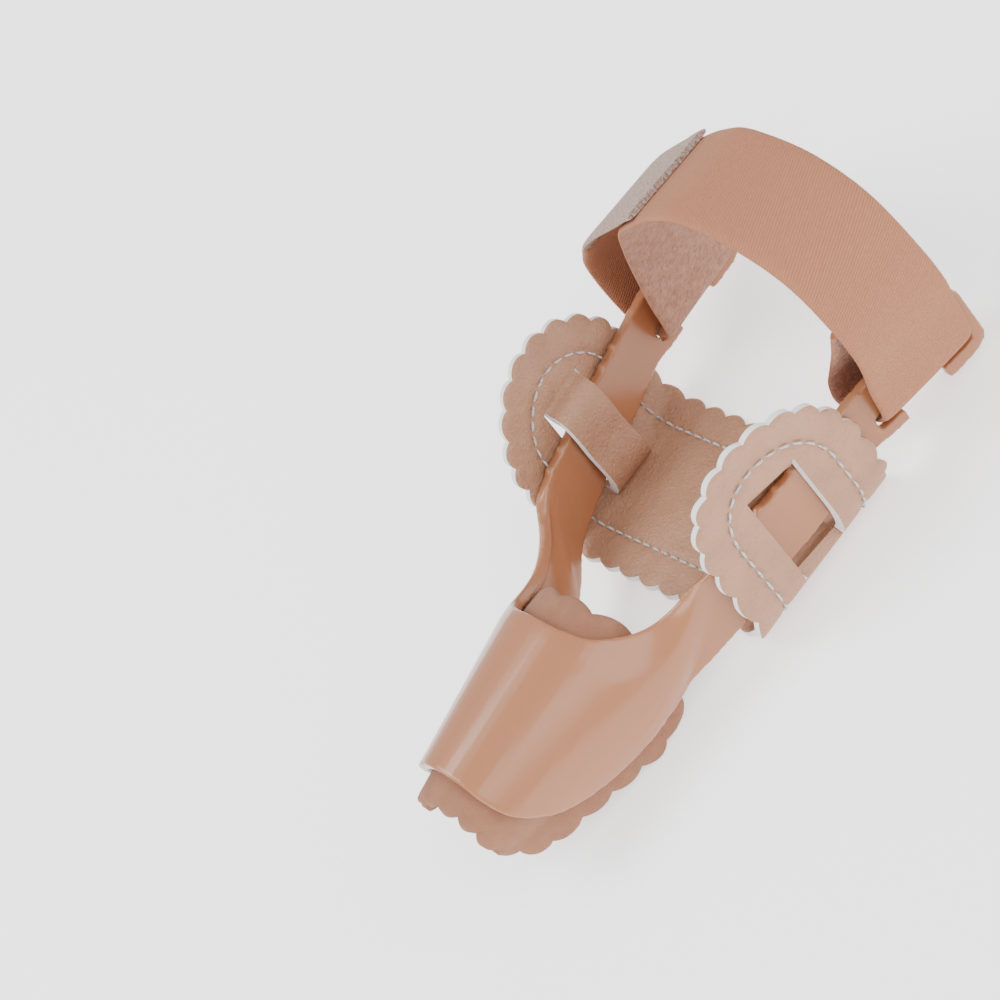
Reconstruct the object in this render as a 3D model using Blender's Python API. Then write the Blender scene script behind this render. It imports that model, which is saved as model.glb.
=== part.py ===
# Big-toe splint: a forked moulded frame, a toe liner, a scalloped wrap pad, an elastic strap and its
# fastening tab. X runs across the foot, Y from the toe to the heel and Z up. The splint lies on its
# liner and its wrap pad, and its origin is under the middle of its box, on the surface it lies on.

import bpy
import bmesh
import numpy as np
from mathutils import Matrix, Vector
from mathutils.geometry import delaunay_2d_cdt

MM = 0.001

# Driving sizes. Lengths in the tables are shares of these.
FRAME_LENGTH = 140 * MM     # front edge of the shield to the ends of the arms
SHIELD_LENGTH = 37 * MM     # front edge to the crown of the fork's rim
SHIELD_RADIUS = 21.2 * MM     # at the rim; the front edge has the radius below
FRONT_RADIUS = 14.2 * MM
ARM_SPREAD = 80 * MM        # between the middles of the arms' walls at the strap
LOOP_HEIGHT = 72 * MM       # the strap's arch over the middle of the toe
REST_PITCH = 12.45            # degrees that the frame is tipped towards the toe as it lies

FRAME_WALL = 2.8 * MM
NUB_RADIUS = 1.0 * MM
NUB_COUNT = 7
SLOT_HEIGHT = 3.5 * MM
SLOT_CLEARANCE = 0.6 * MM   # beside each edge of the strap
PRONG_GAP = 12 * MM         # the opening between the two prongs below the slot

LINER_THICKNESS = 3.0 * MM
LINER_GAP = 0.35 * MM
LINER_REACH = 6 * MM        # how far it stands out past the front edge

PAD_THICKNESS = 2.4 * MM
PAD_WIDTH = 43 * MM         # along the foot
PAD_RISE = 42 * MM          # a lobe's top above the pad's floor
PAD_BEND = 6.5 * MM
PAD_SLOPE = 0.10            # rise of its floor towards the heel, per length
PAD_GAP = 0.4 * MM          # between the pad and an arm
BAND_WIDTH = 12 * MM        # the strip between two slits, along the foot
SLIT_WIDTH = 0.6 * MM
SCALLOP_PITCH = 7 * MM
SCALLOP_RISE = 1.4 * MM

STRAP_WIDTH = 26 * MM
STRAP_THICKNESS = 2.0 * MM
STRAP_GAP = 0.35 * MM
TAB_THICKNESS = 1.4 * MM

COLUMNS = 13

# One side of the frame, from the crown to the arm. Angles are from level at the toe's centre, growth
# is a share of the shield's radius there, and along is a share of the shield's length from the rim.
SHIELD_ROWS = (
    # rim angle, rim growth, rim along, edge angle, edge along, left edge angle, left edge along
    (90.0, 1.00, 0.014, 90.0, -1.00, 90.0, -1.00),
    (70.0, 1.00, 0.022, 64.0, -1.00, 64.0, -1.00),
    (52.0, 1.00, 0.075, 40.0, -1.00, 42.0, -1.00),
    (40.0, 1.02, 0.190, 15.0, -0.95, 25.0, -0.98),
    (34.0, 1.06, 0.285, -8.0, -0.80, 10.0, -0.92),
    (31.0, 1.11, 0.370, -20.0, -0.64, -2.0, -0.74),
    (30.0, 1.18, 0.450, -25.0, -0.46, -9.0, -0.52),
    (30.0, 1.27, 0.525, -25.0, -0.28, -11.0, -0.30),
    (31.0, 1.38, 0.595, -21.0, -0.11, -11.0, -0.11),
    (31.5, 1.51, 0.655, -16.0, 0.10, -10.0, 0.10),
    (31.5, 1.62, 0.716, -12.6, 0.28, -10.0, 0.28),
)

# Each row: share of the frame's length behind the rim for the upper and the lower edge, shares of
# half the spread for their distance from the middle, shares of the spread for their heights.
ARM_ROWS = (
    # upper along, lower along, upper out, lower out, upper height, lower height
    (0.214, 0.122, 0.765, 0.595, 0.238, -0.032),
    (0.240, 0.178, 0.785, 0.712, 0.249, 0.012),
    (0.270, 0.236, 0.800, 0.768, 0.256, 0.042),
    (0.304, 0.293, 0.820, 0.808, 0.267, 0.068),
    (0.345, 0.345, 0.850, 0.845, 0.278, 0.086),
    (0.400, 0.400, 0.884, 0.880, 0.292, 0.108),
    (0.455, 0.455, 0.912, 0.910, 0.306, 0.130),
    (0.500, 0.500, 0.938, 0.936, 0.317, 0.146),
    (0.525, 0.525, 0.952, 0.950, 0.323, 0.140),
    (0.560, 0.560, 0.972, 0.970, 0.329, 0.138),
    (0.620, 0.620, 1.000, 0.998, 0.337, 0.136),
    (0.680, 0.680, 1.024, 1.022, 0.341, 0.133),
    (0.712, 0.712, 1.035, 1.033, 0.341, 0.136),
    (0.728, 0.728, 1.040, 1.038, 0.335, 0.146),
    (0.736, 0.736, 1.042, 1.040, 0.322, 0.164),
)

# The strap's way across the foot, from its sewn end inside the right loop to the end that the tab
# follows: shares of half the spread and of the loop's height.
STRAP_ROUTE = (
    (1.120, 0.628),
    (1.010, 0.530),
    (0.880, 0.430),
    (0.735, 0.315),
    (0.690, 0.240),
    (0.770, 0.206),
    (0.900, 0.214),
    (1.000, 0.219),
    (1.100, 0.235),
    (1.190, 0.350),
    (1.225, 0.520),
    (1.190, 0.680),
    (1.060, 0.850),
    (0.780, 0.960),
    (0.325, 1.000),
    (0.020, 0.968),
    (-0.160, 0.918),
    (-0.330, 0.850),
    (-0.465, 0.782),
    (-0.510, 0.725),
    (-0.640, 0.570),
    (-0.795, 0.372),
    (-0.838, 0.280),
    (-0.885, 0.228),
    (-1.000, 0.2165),
    (-1.115, 0.221),
    (-1.200, 0.256),
    (-1.262, 0.320),
    (-1.285, 0.380),
    (-1.200, 0.500),
    (-1.070, 0.590),
)
TAB_BEND = (-0.880, 0.675)
TAB_SHARES = (-0.330, -0.220, -0.110, -0.020)


def spline(points, samples):
    """Points spaced evenly along a centripetal Catmull-Rom curve through the given points."""
    p = np.asarray(points, float)
    p = np.vstack([2 * p[0] - p[1], p, 2 * p[-1] - p[-2]])
    dense = []
    for k in range(1, len(p) - 2):
        p0, p1, p2, p3 = p[k - 1:k + 3]
        t0 = 0.0
        t1 = t0 + max(np.linalg.norm(p1 - p0), 1e-9) ** 0.5
        t2 = t1 + max(np.linalg.norm(p2 - p1), 1e-9) ** 0.5
        t3 = t2 + max(np.linalg.norm(p3 - p2), 1e-9) ** 0.5
        for t in np.linspace(t1, t2, 24, endpoint=False):
            a1 = (t1 - t) / (t1 - t0) * p0 + (t - t0) / (t1 - t0) * p1
            a2 = (t2 - t) / (t2 - t1) * p1 + (t - t1) / (t2 - t1) * p2
            a3 = (t3 - t) / (t3 - t2) * p2 + (t - t2) / (t3 - t2) * p3
            b1 = (t2 - t) / (t2 - t0) * a1 + (t - t0) / (t2 - t0) * a2
            b2 = (t3 - t) / (t3 - t1) * a2 + (t - t1) / (t3 - t1) * a3
            dense.append((t2 - t) / (t2 - t1) * b1 + (t - t1) / (t2 - t1) * b2)
    dense.append(p[-2])
    dense = np.array(dense)
    steps = np.r_[0, np.cumsum(np.linalg.norm(np.diff(dense, axis=0), axis=1))]
    wanted = np.linspace(0, steps[-1], samples)
    return np.column_stack([np.interp(wanted, steps, dense[:, c]) for c in range(dense.shape[1])])


def material(name, colour, roughness):
    made = bpy.data.materials.new(name)
    made.use_nodes = True
    shader = made.node_tree.nodes["Principled BSDF"]
    shader.inputs["Base Color"].default_value = (*colour, 1.0)
    shader.inputs["Roughness"].default_value = roughness
    shader.inputs["Metallic"].default_value = 0.0
    return made


def solid(name, points, faces, finish):
    """A named object from points and faces, with its faces pointing out."""
    mesh = bpy.data.meshes.new(name)
    mesh.from_pydata([tuple(p) for p in points], [], faces)
    shape = bmesh.new()
    shape.from_mesh(mesh)
    bmesh.ops.recalc_face_normals(shape, faces=shape.faces)
    shape.to_mesh(mesh)
    shape.free()
    mesh.materials.append(finish)
    mesh.shade_smooth()
    mesh.set_sharp_from_angle(angle=0.7)
    made = bpy.data.objects.new(name, mesh)
    bpy.context.scene.collection.objects.link(made)
    return made


def loft(loops):
    """Points and faces of a closed solid through equal closed loops, with its two ends capped."""
    loops = np.asarray(loops)
    rows, ring = loops.shape[:2]
    faces = [
        (r * ring + k, r * ring + (k + 1) % ring, (r + 1) * ring + (k + 1) % ring, (r + 1) * ring + k)
        for r in range(rows - 1)
        for k in range(ring)
    ]
    half = ring // 2
    for base in (0, (rows - 1) * ring):
        for k in range(half - 1):
            faces.append((base + k, base + k + 1, base + ring - 2 - k, base + ring - 1 - k))
    return loops.reshape(-1, 3), faces


def grid_normals(grid):
    along = np.gradient(grid, axis=0)
    across = np.gradient(grid, axis=1)
    across /= np.linalg.norm(across, axis=2, keepdims=True)
    normal = np.cross(across, along)
    normal /= np.linalg.norm(normal, axis=2, keepdims=True)
    return normal, across


def shield_radius(along):
    """The shield's middle radius at a length behind the rim, smaller towards the front."""
    share = np.clip(-np.asarray(along) / SHIELD_LENGTH, 0, 1.3)
    return SHIELD_RADIUS + (FRONT_RADIUS - SHIELD_RADIUS) * share


def shield_row(row, side):
    rim_angle, rim_growth, rim_along, angle, along, left_angle, left_along = row
    if side < 0:
        angle, along = left_angle, left_along
    share = np.linspace(0, 1, COLUMNS)
    turn = np.radians(rim_angle + (angle - rim_angle) * share)
    lengths = (rim_along + (along - rim_along) * share) * SHIELD_LENGTH
    growth = rim_growth + (1 - rim_growth) * share * (2 - share)
    radius = shield_radius(lengths) * growth
    return np.column_stack([side * radius * np.cos(turn), lengths, radius * np.sin(turn)])


def arm_row(row, side):
    upper_along, lower_along, upper_out, lower_out, upper_height, lower_height = row
    share = np.linspace(0, 1, COLUMNS)
    out = (upper_out + (lower_out - upper_out) * share) * ARM_SPREAD / 2
    along = (upper_along + (lower_along - upper_along) * share) * FRAME_LENGTH
    height = (upper_height + (lower_height - upper_height) * share) * ARM_SPREAD
    return np.column_stack([side * out, along, height])


def frame_grid(samples):
    """The frame's middle surface, from the left arm's end round the shield to the right arm's end."""
    left = [arm_row(row, -1) for row in ARM_ROWS[::-1]] + [shield_row(row, -1) for row in SHIELD_ROWS[::-1]]
    right = [shield_row(row, 1) for row in SHIELD_ROWS[1:]] + [arm_row(row, 1) for row in ARM_ROWS]
    keys = np.array(left + right)
    steps = np.linalg.norm(np.diff(keys, axis=0), axis=2).mean(1)
    place = np.r_[0, np.cumsum(steps)]
    wanted = np.linspace(0, place[-1], samples)
    columns = []
    for column in range(keys.shape[1]):
        dense = spline(np.column_stack([keys[:, column] / MM, place / MM * 3]), 1200)
        at = dense[:, 3] / 3 * MM
        columns.append(np.column_stack([np.interp(wanted, at, dense[:, c] * MM) for c in range(3)]))
    return np.array(columns).transpose(1, 0, 2)


def arm_at(along, which):
    """Half the distance between the arms, or an edge's height, at lengths behind the rim."""
    rows = np.array(ARM_ROWS)
    column = {"out": 2, "upper": 4, "lower": 5}[which]
    scale = ARM_SPREAD / 2 if which == "out" else ARM_SPREAD
    key = 1 if which == "lower" else 0
    return np.interp(along, rows[:, key] * FRAME_LENGTH, rows[:, column] * scale)


STRAP_MIDDLE = 0.618 * FRAME_LENGTH
SLOT_MIDDLE = 0.219 * LOOP_HEIGHT


def join(target, others, operation="UNION"):
    """Joins solids to the target, or cuts them out of it, by an exact Boolean."""
    for other in others:
        step = target.modifiers.new("join", "BOOLEAN")
        step.operation = operation
        step.solver = "EXACT"
        step.object = other
        bpy.context.view_layer.update()
        made = bpy.data.meshes.new_from_object(target.evaluated_get(bpy.context.evaluated_depsgraph_get()))
        target.modifiers.clear()
        target.data = made
        bpy.data.objects.remove(other)
    target.data.shade_smooth()
    target.data.set_sharp_from_angle(angle=0.7)
    return target


def ball(place, radius):
    shape = bmesh.new()
    bmesh.ops.create_icosphere(shape, subdivisions=1, radius=radius, matrix=Matrix.Translation(Vector(place)))
    mesh = bpy.data.meshes.new("ball")
    shape.to_mesh(mesh)
    shape.free()
    made = bpy.data.objects.new("ball", mesh)
    bpy.context.scene.collection.objects.link(made)
    return made


def nub_places():
    """Middles of the nubs along the upper edges of both arms."""
    places = []
    for side in (-1, 1):
        for along in np.linspace(0.232, 0.450, NUB_COUNT) * FRAME_LENGTH:
            out = arm_at(along, "out")
            places.append((side * out, along, arm_at(along, "upper") - 0.1 * NUB_RADIUS))
    return places


def slot_outline():
    """The open slot's edge on an arm as lengths behind the rim and heights, from one prong to the other."""
    reach = STRAP_WIDTH / 2 + SLOT_CLEARANCE
    low, high = SLOT_MIDDLE - SLOT_HEIGHT / 2, SLOT_MIDDLE + SLOT_HEIGHT / 2
    near, far = STRAP_MIDDLE - reach, STRAP_MIDDLE + reach
    middle = STRAP_MIDDLE - 0.05 * STRAP_WIDTH
    first, last = middle - PRONG_GAP / 2, middle + PRONG_GAP / 2
    return np.array([(last, low), (far, low), (far, high), (near, high), (near, low), (first, low)])


def frame_sheet(grid, half):
    """Points and faces of the frame: its middle surface flattened, slotted, and laid back."""
    normal, _ = grid_normals(grid)
    rows = len(grid)
    step = MM
    across = 24 * MM
    right = np.arange(rows)[grid[:, 0, 0] > 0]
    right = right[grid[right, 0, 1] > 0.35 * FRAME_LENGTH]

    def flat_place(flat, offset):
        at = np.clip(flat[:, 0] / step, 0, rows - 1)
        low = np.minimum(at.astype(int), rows - 2)
        share = (at - low)[:, None]
        column = np.clip(flat[:, 1] / across, 0, 1) * (COLUMNS - 1)
        left = np.minimum(column.astype(int), COLUMNS - 2)
        side = (column - left)[:, None]

        def blend(field):
            first = field[low, left] * (1 - side) + field[low, left + 1] * side
            second = field[low + 1, left] * (1 - side) + field[low + 1, left + 1] * side
            return first * (1 - share) + second * share

        out = blend(normal)
        out /= np.linalg.norm(out, axis=1, keepdims=True)
        return blend(grid) + out * offset

    notch = []
    for along, height in slot_outline():
        row = np.interp(along, grid[right, 0, 1], right)
        upper = np.interp(row, np.arange(rows), grid[:, 0, 2])
        lower = np.interp(row, np.arange(rows), grid[:, -1, 2])
        notch.append((row * step, (upper - height) / (upper - lower) * across))
    notch = np.array(notch)
    end = (rows - 1) * step
    first = np.column_stack([np.linspace(0, end, rows), np.zeros(rows)])
    last = np.column_stack([np.full(7, end), np.linspace(0, across, 8)[1:]])
    lower = first[::-1] + (0, across)
    lower = lower[(lower[:, 0] < notch[0, 0] - 0.3 * step) | (lower[:, 0] > notch[0, 0] + 0.3 * step)]
    opening = (notch[-1, 0], notch[0, 0])
    mirrored = np.column_stack([end - notch[::-1, 0], notch[::-1, 1]])
    tail = lower[lower[:, 0] > opening[1] + 0.4 * step][1:]
    middle = lower[(lower[:, 0] < opening[0] - 0.4 * step) & (lower[:, 0] > end - opening[0] + 0.4 * step)]
    head = lower[lower[:, 0] < end - opening[1] - 0.4 * step][:-1]
    cap = last[:, ::1][::-1]
    edge = np.vstack([
        first, last, tail,
        [(opening[1], across)], dense(notch, step), [(opening[0], across)], middle,
        [(end - opening[0], across)], dense(mirrored, step), [(end - opening[1], across)], head,
        [(0, across)], cap[1:] * (0, 1),
    ])
    return sheet(edge[::-1], [], (2.0 * step, 3.0 * MM), flat_place, half)


def dense(points, step):
    """The points of an open line with more of them between its corners."""
    line = [points[0]]
    for a, b in zip(points[:-1], points[1:]):
        count = max(1, round(np.hypot(*(b - a)) / (1.2 * step)))
        line += [a + (b - a) * k / count for k in range(1, count + 1)]
    return np.array(line)


def make_frame(finish):
    points, faces, _ = frame_sheet(frame_grid(128), FRAME_WALL / 2)
    frame = solid("splint_frame", points, faces, finish)
    return join(frame, [ball(p, NUB_RADIUS) for p in nub_places()])


def inside(points, polygon):
    """Whether each 2-D point is inside the polygon."""
    x, y = points[:, 0, None], points[:, 1, None]
    x0, y0 = polygon[:, 0], polygon[:, 1]
    x1, y1 = np.roll(x0, -1), np.roll(y0, -1)
    cross = (y0 > y) != (y1 > y)
    with np.errstate(divide="ignore", invalid="ignore"):
        at = (x1 - x0) * (y - y0) / (y1 - y0) + x0
    return (cross & (x < at)).sum(1) % 2 == 1


def sheet(edge, holes, spacing, place, half):
    """Points, faces and the count of side faces of a sheet cut to an edge, with holes, laid by place."""
    edges = [np.asarray(edge)] + [np.asarray(hole) for hole in holes]
    low, high = edges[0].min(0), edges[0].max(0)
    xs = np.arange(low[0], high[0], spacing[0]) + spacing[0] / 2
    ys = np.arange(low[1], high[1], spacing[1]) + spacing[1] / 2
    grid = np.array([(x, y) for x in xs for y in ys])
    keep = inside(grid, edges[0])
    for hole in edges[1:]:
        keep &= ~inside(grid, hole)
    border = np.concatenate(edges)
    grid = grid[keep]
    near = np.array([np.min(np.hypot(*(border - g).T)) for g in grid])
    grid = grid[near > 0.4 * min(spacing)]
    loops, start = [], 0
    for loop in edges:
        loops.append(list(range(start, start + len(loop))))
        start += len(loop)
    verts = [Vector(p / MM) for p in np.vstack([border, grid])]
    flat, _, faces, *_ = delaunay_2d_cdt(verts, [], loops, 2, 1e-5)
    flat = np.array([tuple(v) for v in flat]) * MM
    faces = [tuple(f) for f in faces]
    count = len(flat)
    used = {}
    for face in faces:
        for a, b in zip(face, face[1:] + face[:1]):
            used[(a, b)] = face
    rims = [(a, b) for a, b in used if (b, a) not in used]
    top, under = place(flat, half), place(flat, -half)
    solid_faces = faces + [tuple(count + v for v in face[::-1]) for face in faces]
    sides = [(b, a, count + a, count + b) for a, b in rims]
    return np.vstack([top, under]), solid_faces + sides, len(sides)


def scalloped(length, width, corner, pitch, rise, samples):
    """A rounded rectangle's edge, in 2-D round its middle, with round scallops outside it."""
    corner = min(corner, width / 2 - 1e-6, length / 2 - 1e-6)
    legs = []
    for sx, sy, first in ((1, 1, 0), (-1, 1, 90), (-1, -1, 180), (1, -1, 270)):
        middle = np.array([sx * (length / 2 - corner), sy * (width / 2 - corner)])
        turn = np.radians(np.linspace(first, first + 90, 60))
        legs.append(middle + corner * np.column_stack([np.cos(turn), np.sin(turn)]))
    ring = np.vstack(legs + [legs[0][:1]])
    steps = np.r_[0, np.cumsum(np.hypot(*np.diff(ring, axis=0).T))]
    count = 2 * round(steps[-1] / pitch / 2)
    s = np.arange(count * samples) / (count * samples) * steps[-1]
    plain = np.column_stack([np.interp(s, steps, ring[:, c]) for c in (0, 1)])
    ahead = np.column_stack([np.interp((s + 1e-5) % steps[-1], steps, ring[:, c]) for c in (0, 1)])
    behind = np.column_stack([np.interp((s - 1e-5) % steps[-1], steps, ring[:, c]) for c in (0, 1)])
    tangent = ahead - behind
    tangent /= np.hypot(*tangent.T)[:, None]
    out = np.column_stack([tangent[:, 1], -tangent[:, 0]])
    lobes = np.abs(np.sin(np.pi * s / steps[-1] * count)) ** 0.8
    return plain + out * (rise * (lobes - 0.9))[:, None]


def liner_place(flat, offset):
    """The liner under the shield: first number along the foot, second round the toe from its crown."""
    along, around = flat[:, 0], flat[:, 1]
    radius = shield_radius(along) - FRAME_WALL / 2 - LINER_GAP - LINER_THICKNESS / 2
    typical = 0.5 * (SHIELD_RADIUS + FRONT_RADIUS) - 3 * MM
    lowest = np.radians(-26.0)
    turn = np.maximum(np.pi / 2 - around / typical, lowest)
    straight = np.maximum(around - (np.pi / 2 - lowest) * typical, 0)
    radius = radius + offset
    x = radius * np.cos(turn) + 0.12 * straight
    return np.column_stack([x, along, radius * np.sin(turn) - 0.99 * straight])


def liner_edge(samples):
    """The liner's scalloped edge, longer beside the toe than over its crown."""
    length = SHIELD_LENGTH + LINER_REACH + 9 * MM
    edge = scalloped(length, 66 * MM, 14 * MM, 8 * MM, SCALLOP_RISE, samples)
    edge[:, 0] += length / 2 - SHIELD_LENGTH - LINER_REACH
    edge[:, 1] += 4.0 * MM
    rear = np.clip(edge[:, 0] / (9 * MM), 0, 1)
    edge[:, 0] += rear * 5 * MM * np.clip(np.abs(edge[:, 1]) / (24 * MM), 0, 1) ** 2
    return edge


def make_liner(finish):
    points, faces, _ = sheet(liner_edge(6), [], (4 * MM, 3 * MM), liner_place, LINER_THICKNESS / 2)
    return solid("toe_liner", points, faces, finish)


PAD_MIDDLE = 0.335 * FRAME_LENGTH
PAD_FLOOR = -0.006 * ARM_SPREAD


def pad_section(along, samples=700):
    """The pad's middle line across the foot at one length, and the same line through its strips."""
    wall = arm_at(along, "out") + FRAME_WALL / 2 + PAD_GAP + PAD_THICKNESS / 2
    bend, floor = PAD_BEND, PAD_FLOOR
    lean = 0.02 * ARM_SPREAD
    half = [
        (0, floor), (0.5 * (wall - bend), floor + 0.1 * MM), (wall - bend, floor + 0.6 * MM),
        (wall - 0.30 * bend, floor + 0.36 * bend), (wall, floor + 1.1 * bend),
        (wall, floor + 0.5 * PAD_RISE), (wall, floor + 0.75 * PAD_RISE), (wall + lean, floor + PAD_RISE),
    ]
    plain = spline(half, samples)
    steps = np.r_[0, np.cumsum(np.hypot(*np.diff(plain, axis=0).T))]
    return plain, steps


def strip_section(along):
    """The way of the strip between two slits, over the arm's inner face, on one side."""
    plain, steps = pad_section(along)
    out = arm_at(along, "out")
    low, high = arm_at(along, "lower"), arm_at(along, "upper")
    clear = FRAME_WALL / 2 + PAD_GAP + PAD_THICKNESS / 2
    first, last = slit_span()
    start = [np.interp(first, steps, plain[:, c]) for c in (0, 1)]
    end = [np.interp(last, steps, plain[:, c]) for c in (0, 1)]
    return np.array([
        start, (out - 0.75 * clear, low - 1.5 * clear), (out - 1.5 * clear, low - 0.2 * clear),
        (out - 1.15 * clear, 0.5 * (low + high)), (out - 1.2 * clear, high - 0.3 * clear),
        (out - 0.75 * clear, high + 1.1 * clear), (out + 0.45 * clear, high + 1.5 * clear), end,
    ])


def slit_span():
    """Where the slits begin and end, as lengths along the pad from its middle."""
    plain, steps = pad_section(PAD_MIDDLE)
    low, high = arm_at(PAD_MIDDLE, "lower"), arm_at(PAD_MIDDLE, "upper")
    clear = FRAME_WALL / 2 + PAD_GAP + PAD_THICKNESS / 2
    wall = plain[:, 0] > arm_at(PAD_MIDDLE, "out") - 2 * clear
    first = np.interp(low - 1.3 * clear, plain[wall][:, 1], steps[wall])
    last = np.interp(high + 1.95 * clear, plain[wall][:, 1], steps[wall])
    return first, last


def normals_2d(line):
    tangent = np.gradient(line, axis=0)
    tangent /= np.hypot(*tangent.T)[:, None]
    return np.column_stack([tangent[:, 1], -tangent[:, 0]])


def pad_place(flat, offset):
    """The pad round the arms: first number across the foot along the pad, second along the foot."""
    side = np.where(flat[:, 0] < 0, -1.0, 1.0)
    reach, along = np.abs(flat[:, 0]), flat[:, 1] + PAD_MIDDLE
    first, last = slit_span()
    plain, steps = pad_section(PAD_MIDDLE)
    out = normals_2d(plain)
    x = np.interp(reach, steps, plain[:, 0])
    z = np.interp(reach, steps, plain[:, 1])
    nx = np.interp(reach, steps, out[:, 0])
    nz = np.interp(reach, steps, out[:, 1])
    beyond = np.maximum(reach - steps[-1], 0)
    x, z = x - beyond * out[-1, 1], z + beyond * out[-1, 0]
    strip = (np.abs(flat[:, 1]) < BAND_WIDTH / 2 + 1e-7) & (reach > first) & (reach < last)
    lane = spline(strip_section(PAD_MIDDLE), 600)
    lane_out = normals_2d(lane)
    share = np.linspace(0, 1, len(lane))
    at = np.clip((reach - first) / (last - first), 0, 1)
    x = np.where(strip, np.interp(at, share, lane[:, 0]), x)
    z = np.where(strip, np.interp(at, share, lane[:, 1]), z)
    nx = np.where(strip, np.interp(at, share, lane_out[:, 0]), nx)
    nz = np.where(strip, np.interp(at, share, lane_out[:, 1]), nz)
    size = np.hypot(nx, nz)
    follow = arm_at(along, "out") - arm_at(PAD_MIDDLE, "out")
    x = x + follow * np.clip(z / (0.12 * ARM_SPREAD), 0, 1) * np.clip(x / (0.3 * ARM_SPREAD), 0, 1)
    low = np.clip(1 - (z - PAD_FLOOR) / (0.3 * PAD_RISE), 0, 1)
    z = z + PAD_SLOPE * (along - PAD_MIDDLE) * np.where(strip, 0, low)
    x, z = x + nx / size * offset, z + nz / size * offset
    return np.column_stack([side * x, along, z])


def slit_holes():
    """The four slits as narrow holes in the flat pad."""
    first, last = slit_span()
    holes = []
    for side in (-1, 1):
        for edge in (-1, 1):
            a = side * first
            b = side * last
            inner = edge * BAND_WIDTH / 2
            outer = edge * (BAND_WIDTH / 2 + SLIT_WIDTH)
            steps = np.linspace(0, 1, 17)
            holes.append(np.vstack([
                np.column_stack([a + (b - a) * steps, np.full(17, inner)]),
                np.column_stack([b + (a - b) * steps, np.full(17, outer)]),
            ]))
    return holes


def pad_length():
    _, steps = pad_section(PAD_MIDDLE)
    return 2 * steps[-1]


def make_pad(finish):
    edge = scalloped(pad_length(), PAD_WIDTH, PAD_WIDTH / 2, SCALLOP_PITCH, SCALLOP_RISE, 6)
    points, faces, _ = sheet(edge, slit_holes(), (2.4 * MM, 3.2 * MM), pad_place, PAD_THICKNESS / 2)
    return solid("wrap_pad", points, faces, finish)


def strap_line(samples):
    scale = np.array([ARM_SPREAD / 2, LOOP_HEIGHT])
    return spline(np.array(STRAP_ROUTE) * scale, samples)


def tab_line(samples):
    """The tab's way, from the strap's end up and over onto the arch."""
    scale = np.array([ARM_SPREAD / 2, LOOP_HEIGHT])
    line = strap_line(2000)
    out = normals_2d(line)
    arch = np.arange(len(line)) < 0.82 * len(line)
    arch &= line[:, 1] > 0.72 * LOOP_HEIGHT
    ahead = (line[-1] - line[-12]) / np.hypot(*(line[-1] - line[-12]))
    start = line[-1] + ahead * 2 * STRAP_GAP
    points = [start, start + ahead * MM, np.array(TAB_BEND) * scale]
    lift = STRAP_THICKNESS / 2 + TAB_THICKNESS / 2 + 2.4 * STRAP_GAP
    for share in TAB_SHARES:
        nearest = np.where(arch, np.abs(line[:, 0] - share * scale[0]), 9.0).argmin()
        normal = out[nearest] * np.sign(out[nearest][1])
        points.append(line[nearest] + normal * lift)
    return spline(points, samples)


def band(name, line, width, thickness, finish):
    """A flat band of one width and thickness along a line across the foot."""
    out = normals_2d(line)
    half, edge = width / 2, 0.3 * thickness
    h = thickness / 2
    profile = (
        (-half + edge, -h), (0, -h), (half - edge, -h), (half, -h + edge), (half, h - edge),
        (half - edge, h), (0, h), (-half + edge, h), (-half, h - edge), (-half, -h + edge),
    )
    loops = []
    for point, normal in zip(line, out):
        flat = [point + normal * lift for _, lift in profile]
        loops.append([(f[0], STRAP_MIDDLE + place, f[1]) for f, (place, _) in zip(flat, profile)])
    loops = [loop[-1:] + loop[:-1] for loop in loops]
    points, faces = loft(np.array(loops))
    return solid(name, points, faces, finish)


def seat(objects):
    """Tips the splint as it lies and puts its origin under the middle of its box."""
    for made in objects:
        made.data.transform(Matrix.Rotation(-np.radians(REST_PITCH), 4, "X"))
    corners = np.array([vertex.co for made in objects for vertex in made.data.vertices])
    low, high = corners.min(0), corners.max(0)
    shift = Vector(((low[0] + high[0]) / 2, (low[1] + high[1]) / 2, low[2]))
    for made in objects:
        made.data.transform(Matrix.Translation(-shift))


def main():
    for old in list(bpy.data.objects):
        bpy.data.objects.remove(old)
    plastic = material("moulded_plastic", (0.55, 0.28, 0.17), 0.22)
    leather = material("imitation_leather", (0.48, 0.28, 0.20), 0.6)
    foam = material("liner_foam", (0.50, 0.27, 0.19), 0.95)
    elastic = material("elastic_webbing", (0.57, 0.30, 0.20), 0.9)
    tape = material("hook_tape", (0.44, 0.35, 0.31), 0.95)
    seat([
        make_frame(plastic),
        make_liner(foam),
        make_pad(leather),
        band("elastic_strap", strap_line(120), STRAP_WIDTH, STRAP_THICKNESS, elastic),
        band("fastening_tab", tab_line(30), STRAP_WIDTH, TAB_THICKNESS, tape),
    ])


main()
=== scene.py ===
# %% [markdown]
# # Big-toe splint
# The real splint is a glossy plastic fork: a shield over the big toe, and two arms back to a wide strap.
# A liner sits under the shield, and a leather pad is wrapped round the arms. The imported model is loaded
# first as the frame that every piece keeps to.

# %%
import bpy
import bmesh
import numpy as np
from mathutils import Matrix, Vector
from mathutils.geometry import delaunay_2d_cdt


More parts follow.
